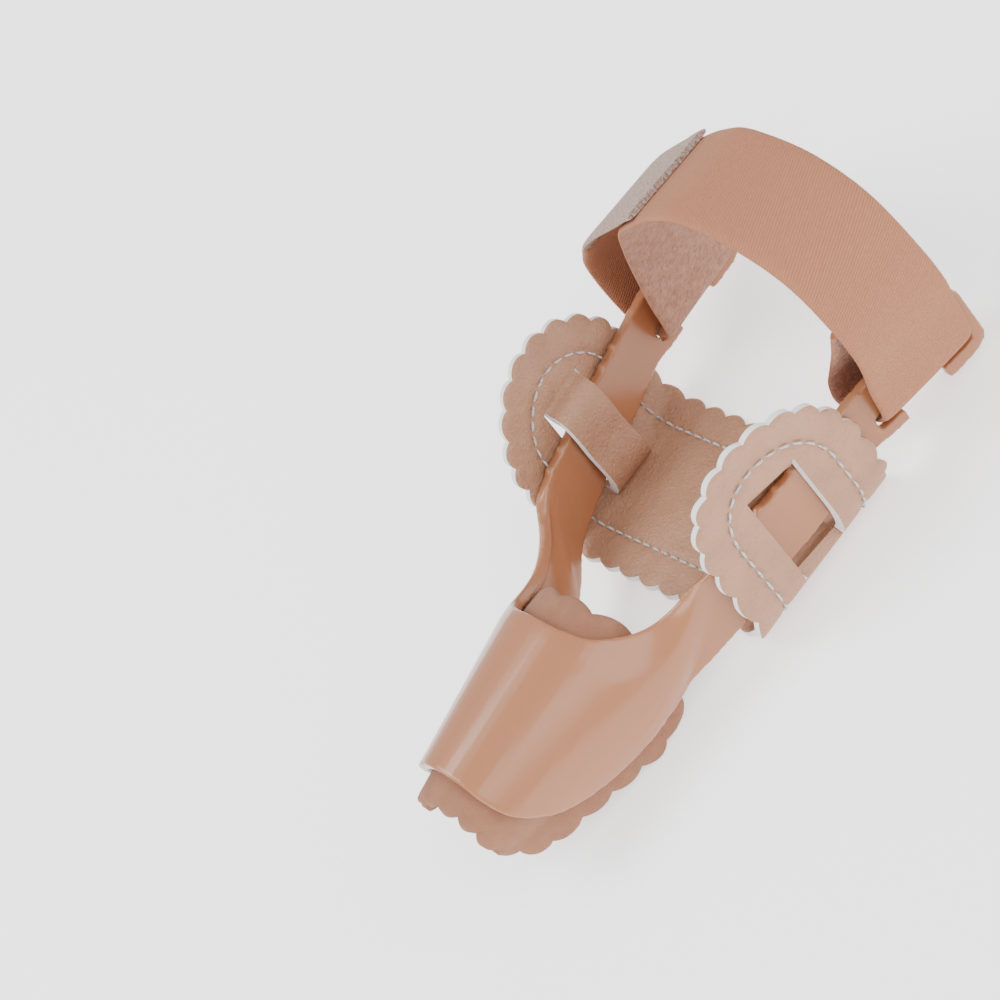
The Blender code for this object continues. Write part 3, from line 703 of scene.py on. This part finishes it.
class Surface:
    """A Principled material with its colours, patterns and bumps set by short calls."""

    def __init__(self, name, colour, roughness, coat=0.0, sheen=0.0, scatter=0.0):
        self.made = bpy.data.materials.new(name)
        self.made.use_nodes = True
        self.tree = self.made.node_tree
        self.shader = self.tree.nodes["Principled BSDF"]
        self.colour = colour
        self.shader.inputs["Base Color"].default_value = (*colour, 1)
        settings = {
            "Roughness": roughness, "Coat Weight": coat, "Coat Roughness": 0.12,
            "Sheen Weight": sheen, "Sheen Roughness": 0.6, "Subsurface Weight": scatter,
            "Subsurface Radius": (0.004, 0.0018, 0.001), "Subsurface Scale": 0.6,
        }
        for socket, value in settings.items():
            self.shader.inputs[socket].default_value = value
        self.place = self.tree.nodes.new("ShaderNodeTexCoord")

    def node(self, kind, settings=(), sockets=()):
        """A node of one kind: its settings are set first, then its sockets get values or links."""
        made = self.tree.nodes.new(kind)
        for name, value in dict(settings).items():
            setattr(made, name, value)
        for name, value in dict(sockets).items():
            if isinstance(value, Wire):
                self.tree.links.new(value.socket, made.inputs[name])
            else:
                made.inputs[name].default_value = value
        return made

    def spot(self, kind="Object"):
        """The point being coloured, in the object's own place or in the piece's own UV map."""
        return Wire(self.tree, self.place.outputs[kind])

    def noise(self, scale, detail=4.0):
        """Soft random patches."""
        vector = {"Vector": self.spot(), "Scale": scale, "Detail": detail}
        return Wire(self.tree, self.node("ShaderNodeTexNoise", (), vector).outputs[0])

    def cells(self, scale, kind="DISTANCE_TO_EDGE"):
        """Distances in a pattern of packed cells, as in leather's grain."""
        node = self.node("ShaderNodeTexVoronoi", {"feature": kind}, {"Vector": self.spot(), "Scale": scale})
        return Wire(self.tree, node.outputs["Distance"])

    def ribs(self, pitch, turn=0.0, wobble=0.0):
        """Even waves along the cloth, one for each pitch in millimetres."""
        turned = self.node("ShaderNodeMapping", (), {"Vector": self.spot("UV"), "Rotation": (0, 0, turn)})
        wave = {"Vector": Wire(self.tree, turned.outputs[0]), "Scale": WAVE_SCALE / pitch,
                "Distortion": wobble, "Detail Scale": 2.0}
        return Wire(self.tree, self.node("ShaderNodeTexWave", {"bands_direction": "X"}, wave).outputs["Fac"])

    def tint(self, wire, other, low=0.3, high=0.7):
        """A second colour, mixed in as the pattern goes from low to high."""
        limits = self.node("ShaderNodeMapRange", (), {"Value": wire, "From Min": low, "From Max": high})
        colours = {"A": (*self.colour, 1), "B": (*other, 1), "Factor": Wire(self.tree, limits.outputs[0])}
        mix = self.node("ShaderNodeMix", {"data_type": "RGBA"}, colours)
        self.tree.links.new(mix.outputs["Result"], self.shader.inputs["Base Color"])

    def bump(self, wire, depth, strength=1.0):
        """Relief of a given depth in metres, where the pattern is high."""
        node = self.node("ShaderNodeBump", (), {"Height": wire, "Distance": depth, "Strength": strength})
        self.tree.links.new(node.outputs[0], self.shader.inputs["Normal"])


plastic = Surface("glossy plastic", (0.345, 0.137, 0.062), 0.24, coat=0.12, scatter=0.12)
plastic.bump(plastic.noise(160.0, 2.0), 0.00004, 0.5)

leather = Surface("grained leather", (0.420, 0.222, 0.135), 0.5)
leather.tint(leather.noise(120.0), (0.355, 0.180, 0.106))
leather.bump(leather.cells(900.0) * 0.8 + leather.noise(420.0, 6.0) * 1.2, 0.00045, 0.8)

core = Surface("white foam core", (0.78, 0.775, 0.77), 0.9)
core.bump(core.noise(2200.0), 0.0003, 0.6)

suede = Surface("suede foam", (0.262, 0.112, 0.062), 0.95, sheen=0.04)
suede.tint(suede.noise(260.0, 8.0), (0.302, 0.138, 0.080))
suede.bump(suede.noise(3200.0, 6.0), 0.00025, 0.7)

weave = Surface("ribbed elastic", (0.430, 0.176, 0.088), 0.85)
weave.tint(weave.ribs(0.62, 0.35, 0.6) * 0.6 + weave.noise(900.0) * 0.5, (0.350, 0.138, 0.070), 0.2, 0.9)
weave.bump(weave.ribs(0.62, 0.35, 0.6) + weave.noise(2600.0) * 0.9, 0.00025, 0.8)

pile = Surface("brushed pile", (0.300, 0.122, 0.068), 1.0, sheen=0.1)
pile.tint(pile.noise(700.0, 8.0), (0.430, 0.215, 0.140))
pile.bump(pile.noise(1500.0, 10.0), 0.0009, 0.9)

hooks = Surface("hook tape", (0.370, 0.200, 0.135), 0.95)
hooks.tint(hooks.noise(1900.0, 3.0), (0.42, 0.36, 0.33), 0.42, 0.58)
hooks.bump(hooks.cells(1400.0, "F1") + hooks.noise(2600.0), 0.0005, 0.9)

thread = Surface("grey white thread", (0.52, 0.52, 0.54), 0.8, sheen=0.1)
thread.tint(thread.noise(1500.0, 3.0), (0.30, 0.31, 0.33), 0.55, 0.62)

# %% [markdown]
# ## The moulded frame
# A mould leaves no sharp edge. Bevels round the slots and the nubs would need many cuts, so the sheet
# and its nubs become one skin of small cells instead, smoothed until every edge is round.

# %%
SKIN_CELL = 0.00045
SKIN_PASSES = 7


def balls(places, radius):
    """An icosphere of one radius at each place."""
    shape = bmesh.new()
    for place in places:
        bmesh.ops.create_icosphere(shape, subdivisions=3, radius=radius, matrix=Matrix.Translation(place))
    points = np.array([v.co for v in shape.verts])
    faces = [tuple(v.index for v in f.verts) for f in shape.faces]
    shape.free()
    return points, faces


def moulding():
    """The sheet at the wall's half thickness each way, and a ball at each nub, under one remeshed skin."""
    points, faces, *_ = frame_sheet(frame_grid(190), FRAME_WALL / 2)
    nub_points, nub_faces = balls(nub_places(), NUB_RADIUS)
    start = len(points)
    faces = list(faces) + [tuple(start + v for v in f) for f in nub_faces]
    made = build("frame_moulding", np.vstack([points, nub_points]), faces, [plastic.made])
    cells = made.modifiers.new("cells", "REMESH")
    cells.mode = "VOXEL"
    cells.voxel_size = SKIN_CELL
    soften = made.modifiers.new("soften", "SMOOTH")
    soften.factor = 0.5
    soften.iterations = SKIN_PASSES
    baked = bpy.data.meshes.new_from_object(made.evaluated_get(bpy.context.evaluated_depsgraph_get()))
    made.modifiers.clear()
    made.data = baked
    baked.shade_smooth()
    print("moulding:", len(baked.polygons), "faces")
    return made


splint = moulding()
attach(splint, "root")
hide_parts("splint_frame")

# %% [markdown]
# ## The toe liner
# The liner is a soft scalloped foam sheet that shows in front of the shield and below its right side.
# Its thickness falls off towards the edge, which gives the rolled look of cut foam without a bevel.

# %%
def soft_edge(place, edges, half, roll):
    """A place function whose thickness falls off within roll of the given 2-D edges."""
    border = np.concatenate(edges)

    def laid(flat, offset):
        share = np.clip(edge_distance(flat, border) / roll, 0, 1)
        return place(flat, offset * (0.62 + 0.38 * np.sqrt(1 - (1 - share) ** 2)))

    return laid


def liner():
    """The liner's flat edge filled, and laid with a softened rim."""
    edge = liner_edge(16)
    place = soft_edge(liner_place, [edge], LINER_THICKNESS / 2, 1.2 * MM)
    points, faces, _ = sheet(edge, [], (MM, MM), place, LINER_THICKNESS / 2)
    return build("suede_liner", points, faces, [suede.made], smooth=1.2)


toe = liner()
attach(toe, "root")
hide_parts("toe_liner")

# %% [markdown]
# ## The wrap pad and its stitching
# The pad has leather on both faces and white foam at its cut edge, so side faces take a second finish.
# Thread pulls the foam in, so the thickness dips along the stitch line. The stitches are real capsules,
# because a bump alone would vanish from the exported mesh.

# %%
STITCH_INSET = 8 * MM
STITCH_PITCH = 3.3 * MM
PAD_LOBE_POINTS = 14        # on the edge of each scallop
PAD_CELL = 0.9 * MM
DIP_DEPTH = 0.42 * MM       # of the stitch line, and half its width
DIP_WIDTH = 1.1 * MM
THREAD_RADIUS = 0.27 * MM


def stitch_distance(flat):
    """Distance from each flat point to the stitch line, a stadium inside the pad's edge."""
    reach = (pad_length() - PAD_WIDTH) / 2
    from_spine = np.hypot(np.maximum(np.abs(flat[:, 0]) - reach, 0), flat[:, 1])
    return np.abs(from_spine - (PAD_WIDTH / 2 - STITCH_INSET))


def stitched_place(flat, offset):
    """The pad's place, with its half thickness less a bell curve of the distance to the stitches."""
    dip = DIP_DEPTH * np.exp(-(stitch_distance(flat) / DIP_WIDTH) ** 2)
    return pad_place(flat, np.sign(offset) * (np.abs(offset) - dip))


def pad():
    """The stadium with its four slits, leather on its faces and foam on its sides."""
    edge = scalloped(pad_length(), PAD_WIDTH, PAD_WIDTH / 2, SCALLOP_PITCH, SCALLOP_RISE, PAD_LOBE_POINTS)
    holes = slit_holes()
    place = soft_edge(stitched_place, [edge], PAD_THICKNESS / 2, 1.0 * MM)
    points, faces, sides = sheet(edge, holes, (PAD_CELL, PAD_CELL), place, PAD_THICKNESS / 2)
    which = np.zeros(len(faces), int)
    which[len(faces) - sides:] = 1
    return build("leather_pad", points, faces, [leather.made, core.made], which, smooth=0.9)


def stitches():
    """A short twisted capsule for each stitch, on both faces of the pad, sunk at its two ends."""
    reach = (pad_length() - PAD_WIDTH) / 2
    radius = PAD_WIDTH / 2 - STITCH_INSET
    turn = np.linspace(-np.pi / 2, np.pi / 2, 120)
    cap = np.column_stack([reach + radius * np.cos(turn), radius * np.sin(turn)])
    ring = np.vstack([cap, -cap, cap[:1]])
    steps = np.r_[0, np.cumsum(np.hypot(*np.diff(ring, axis=0).T))]
    count = round(steps[-1] / STITCH_PITCH)
    points, faces = [], []
    share = np.linspace(0, 1, 9)
    around = np.linspace(0, 2 * np.pi, 8, endpoint=False)
    each = len(share) * len(around)
    for k in range(count):
        s = (k + 0.12 + 0.76 * share) / count * steps[-1]
        flat = np.column_stack([np.interp(s, steps, ring[:, c]) for c in (0, 1)])
        for face in (-1, 1):
            lift = face * (PAD_THICKNESS / 2 - 0.30 * MM + 0.42 * MM * np.sin(np.pi * share) ** 0.5)
            middle = pad_place(flat, lift)
            ahead = np.gradient(middle, axis=0)
            ahead /= np.linalg.norm(ahead, axis=1, keepdims=True)
            out = pad_place(flat, lift + face * 0.1 * MM) - middle
            out /= np.linalg.norm(out, axis=1, keepdims=True)
            beside = np.cross(ahead, out)
            wide = THREAD_RADIUS * np.sqrt(np.clip(1 - (2 * share - 1) ** 6, 0.05, 1))[:, None]
            twist = 1 + 0.16 * np.cos(3 * around + 5 * share[:, None])
            start = each * len(points)
            ring_out = out[:, None] * np.sin(around)[:, None] + beside[:, None] * np.cos(around)[:, None]
            points.append((middle[:, None] + ring_out * (wide * twist)[..., None]).reshape(-1, 3))
            for row in range(8):
                for a in range(8):
                    b = (a + 1) % 8
                    base = start + row * 8
                    faces.append((base + a, base + b, base + 8 + b, base + 8 + a))
            faces.append(tuple(start + a for a in range(8)))
            faces.append(tuple(start + 64 + a for a in range(8)))
    return build("pad_stitches", np.vstack(points), faces, [thread.made], smooth=1.2)


wrap = pad()
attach(wrap, "root")
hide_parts("wrap_pad")
seam = stitches()
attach(seam, "root")
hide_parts("wrap_pad")

# %% [markdown]
# ## The elastic strap and its tab
# The strap is elastic with ribs outside and brushed pile inside. Cloth simulation would not hold its
# tight turns in the slots, so it is a flat band carried along a line, with rounded edges. Each point
# carries its length along the band and its place across it, in millimetres, so ribs follow the cloth.

# %%
def ribbon(name, line, width, thickness, finishes, columns, edge_shift=None):
    """A closed band: thickness along the line's normal, an edge that bulges, and its two faces apart."""
    out = normals_2d(line)
    steps = np.r_[0, np.cumsum(np.hypot(*np.diff(line, axis=0).T))]
    across = np.linspace(-1, 1, columns)
    bulge = np.sqrt(np.clip(1 - np.abs(across) ** 14, 0.12, 1))
    rows, points, uv = len(line), [], []
    rng = np.random.default_rng(7)
    wave = np.convolve(rng.normal(size=rows + 20), np.ones(21) / 21, "valid")
    row = np.arange(rows)
    half = width / 2 * (1 + 0.012 * wave)[:, None]
    ahead = line[np.minimum(row + 1, rows - 1)] - line[np.maximum(row - 1, 0)]
    shift = np.zeros((rows, columns)) if edge_shift is None else edge_shift(row[:, None], rows, across)
    along = STRAP_MIDDLE + across * half
    slant = arm_at(along, "out") - arm_at(STRAP_MIDDLE, "out")
    reach = np.broadcast_to(steps[:, None], along.shape)
    for face in (1, -1):
        lift = face * thickness / 2 * bulge
        flat = line[:, None] + out[:, None] * lift[:, None] + shift[..., None] * ahead[:, None]
        x, z = flat[..., 0], flat[..., 1]
        follow = slant * np.clip((0.62 * LOOP_HEIGHT - z) / (0.28 * LOOP_HEIGHT), 0, 1)
        points.append(np.stack([x + np.sign(x) * follow, along, z], -1).reshape(-1, 3))
        uv.append(np.stack([reach, half * across], -1).reshape(-1, 2) / MM)
    points, uv = np.vstack(points), np.vstack(uv)
    place = (row[:-1, None] * columns + np.arange(columns - 1)).ravel()
    other = rows * columns
    outer = np.stack([place, place + 1, place + columns + 1, place + columns], -1)
    inner = other + outer[:, [0, 3, 2, 1]]
    side = np.concatenate([row[:-1] * columns, row[:-1] * columns + columns - 1])
    sides = np.stack([side, side + columns, other + side + columns, other + side], -1)
    end = np.concatenate([np.arange(columns - 1), (rows - 1) * columns + np.arange(columns - 1)])
    ends = np.stack([end, end + 1, other + end + 1, other + end], -1)
    faces = np.vstack([outer, inner, sides, ends]).tolist()
    which = np.zeros(len(faces), int)
    which[len(outer):len(outer) + len(inner)] = 1
    return build(name, points, faces, finishes, which, uv, smooth=1.1)


def serrated(row, rows, across):
    """Saw teeth at the far end of the tab: a triangle wave across it, on its last rows only."""
    teeth = np.abs((across * 11) % 1 - 0.5) * 2
    near = np.clip((row - rows + 4) / 3, 0, 1)
    return -0.9 * teeth * near


strap = ribbon("elastic_band", strap_line(420), STRAP_WIDTH, STRAP_THICKNESS, [weave.made, pile.made], 41)
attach(strap, "root")
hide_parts("elastic_strap")
tab = ribbon("hook_tab", tab_line(90), STRAP_WIDTH, TAB_THICKNESS, [hooks.made, hooks.made], 67, serrated)
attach(tab, "root")
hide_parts("fastening_tab")

# %% [markdown]
# ## Floor, light and camera
# A plain pale floor and three soft area lights keep the finishes readable. The camera has the photo's
# angle to the splint as it lies, found upright and tipped with it.

# %%
def floor():
    """One large square that takes the splint's shadow."""
    mesh = bpy.data.meshes.new("floor")
    mesh.from_pydata([(-3, -3, 0), (3, -3, 0), (3, 3, 0), (-3, 3, 0)], [], [(0, 1, 2, 3)])
    pale = Surface("pale floor", (0.93, 0.93, 0.93), 0.95)
    pale.shader.inputs["Emission Color"].default_value = (1, 1, 1, 1)
    pale.shader.inputs["Emission Strength"].default_value = 0.9
    mesh.materials.append(pale.made)
    made = bpy.data.objects.new("floor", mesh)
    bpy.context.scene.collection.objects.link(made)


def area_light(name, place, aim, size, power):
    """A rectangular lamp turned to look at a point."""
    lamp = bpy.data.lights.new(name, "AREA")
    lamp.shape = "RECTANGLE"
    lamp.size, lamp.size_y = size
    lamp.energy = power
    made = bpy.data.objects.new(name, lamp)
    turn = (Vector(aim) - Vector(place)).to_track_quat("-Z", "Y")
    made.matrix_world = Matrix.Translation(place) @ turn.to_matrix().to_4x4()
    bpy.context.scene.collection.objects.link(made)


CAMERA_LENS = 152.3         # mm
CAMERA_DISTANCE = 0.9
TARGET = (0, 0, 0.03)


def camera():
    """Looks along the photo's direction, rolled as the photo is, with the shield's rim at its place."""
    tip = Matrix.Rotation(-np.radians(REST_PITCH), 3, "X")
    back = (tip @ Vector((0.775, -0.211, 0.596))).normalized()
    up = back.cross(tip @ Vector((0.573, 0.632, -0.522))).normalized()
    right = up.cross(back)
    rim = Vector(lay([(-13.5 * MM, 0, 17.3 * MM)])[0])
    centre = rim - right * 0.00149 + up * 0.02383
    lens = bpy.data.cameras.new("camera")
    lens.lens = CAMERA_LENS
    lens.clip_start = 0.05
    made = bpy.data.objects.new("camera", lens)
    turn = Matrix((right, up, back)).transposed().to_4x4()
    made.matrix_world = Matrix.Translation(centre + back * CAMERA_DISTANCE) @ turn
    bpy.context.scene.collection.objects.link(made)
    bpy.context.scene.camera = made


floor()
area_light("key", (-0.35, -0.25, 0.75), TARGET, (0.5, 0.5), 6.5)
area_light("fill", (0.75, 0.25, 0.55), TARGET, (0.9, 0.9), 8.0)
area_light("front", (0.25, -0.85, 0.35), TARGET, (0.25, 0.9), 4.0)
world = bpy.data.worlds.new("studio")
world.use_nodes = True
world.node_tree.nodes["Background"].inputs["Color"].default_value = (1, 1, 1, 1)
world.node_tree.nodes["Background"].inputs["Strength"].default_value = 1.0
bpy.context.scene.world = world
camera()
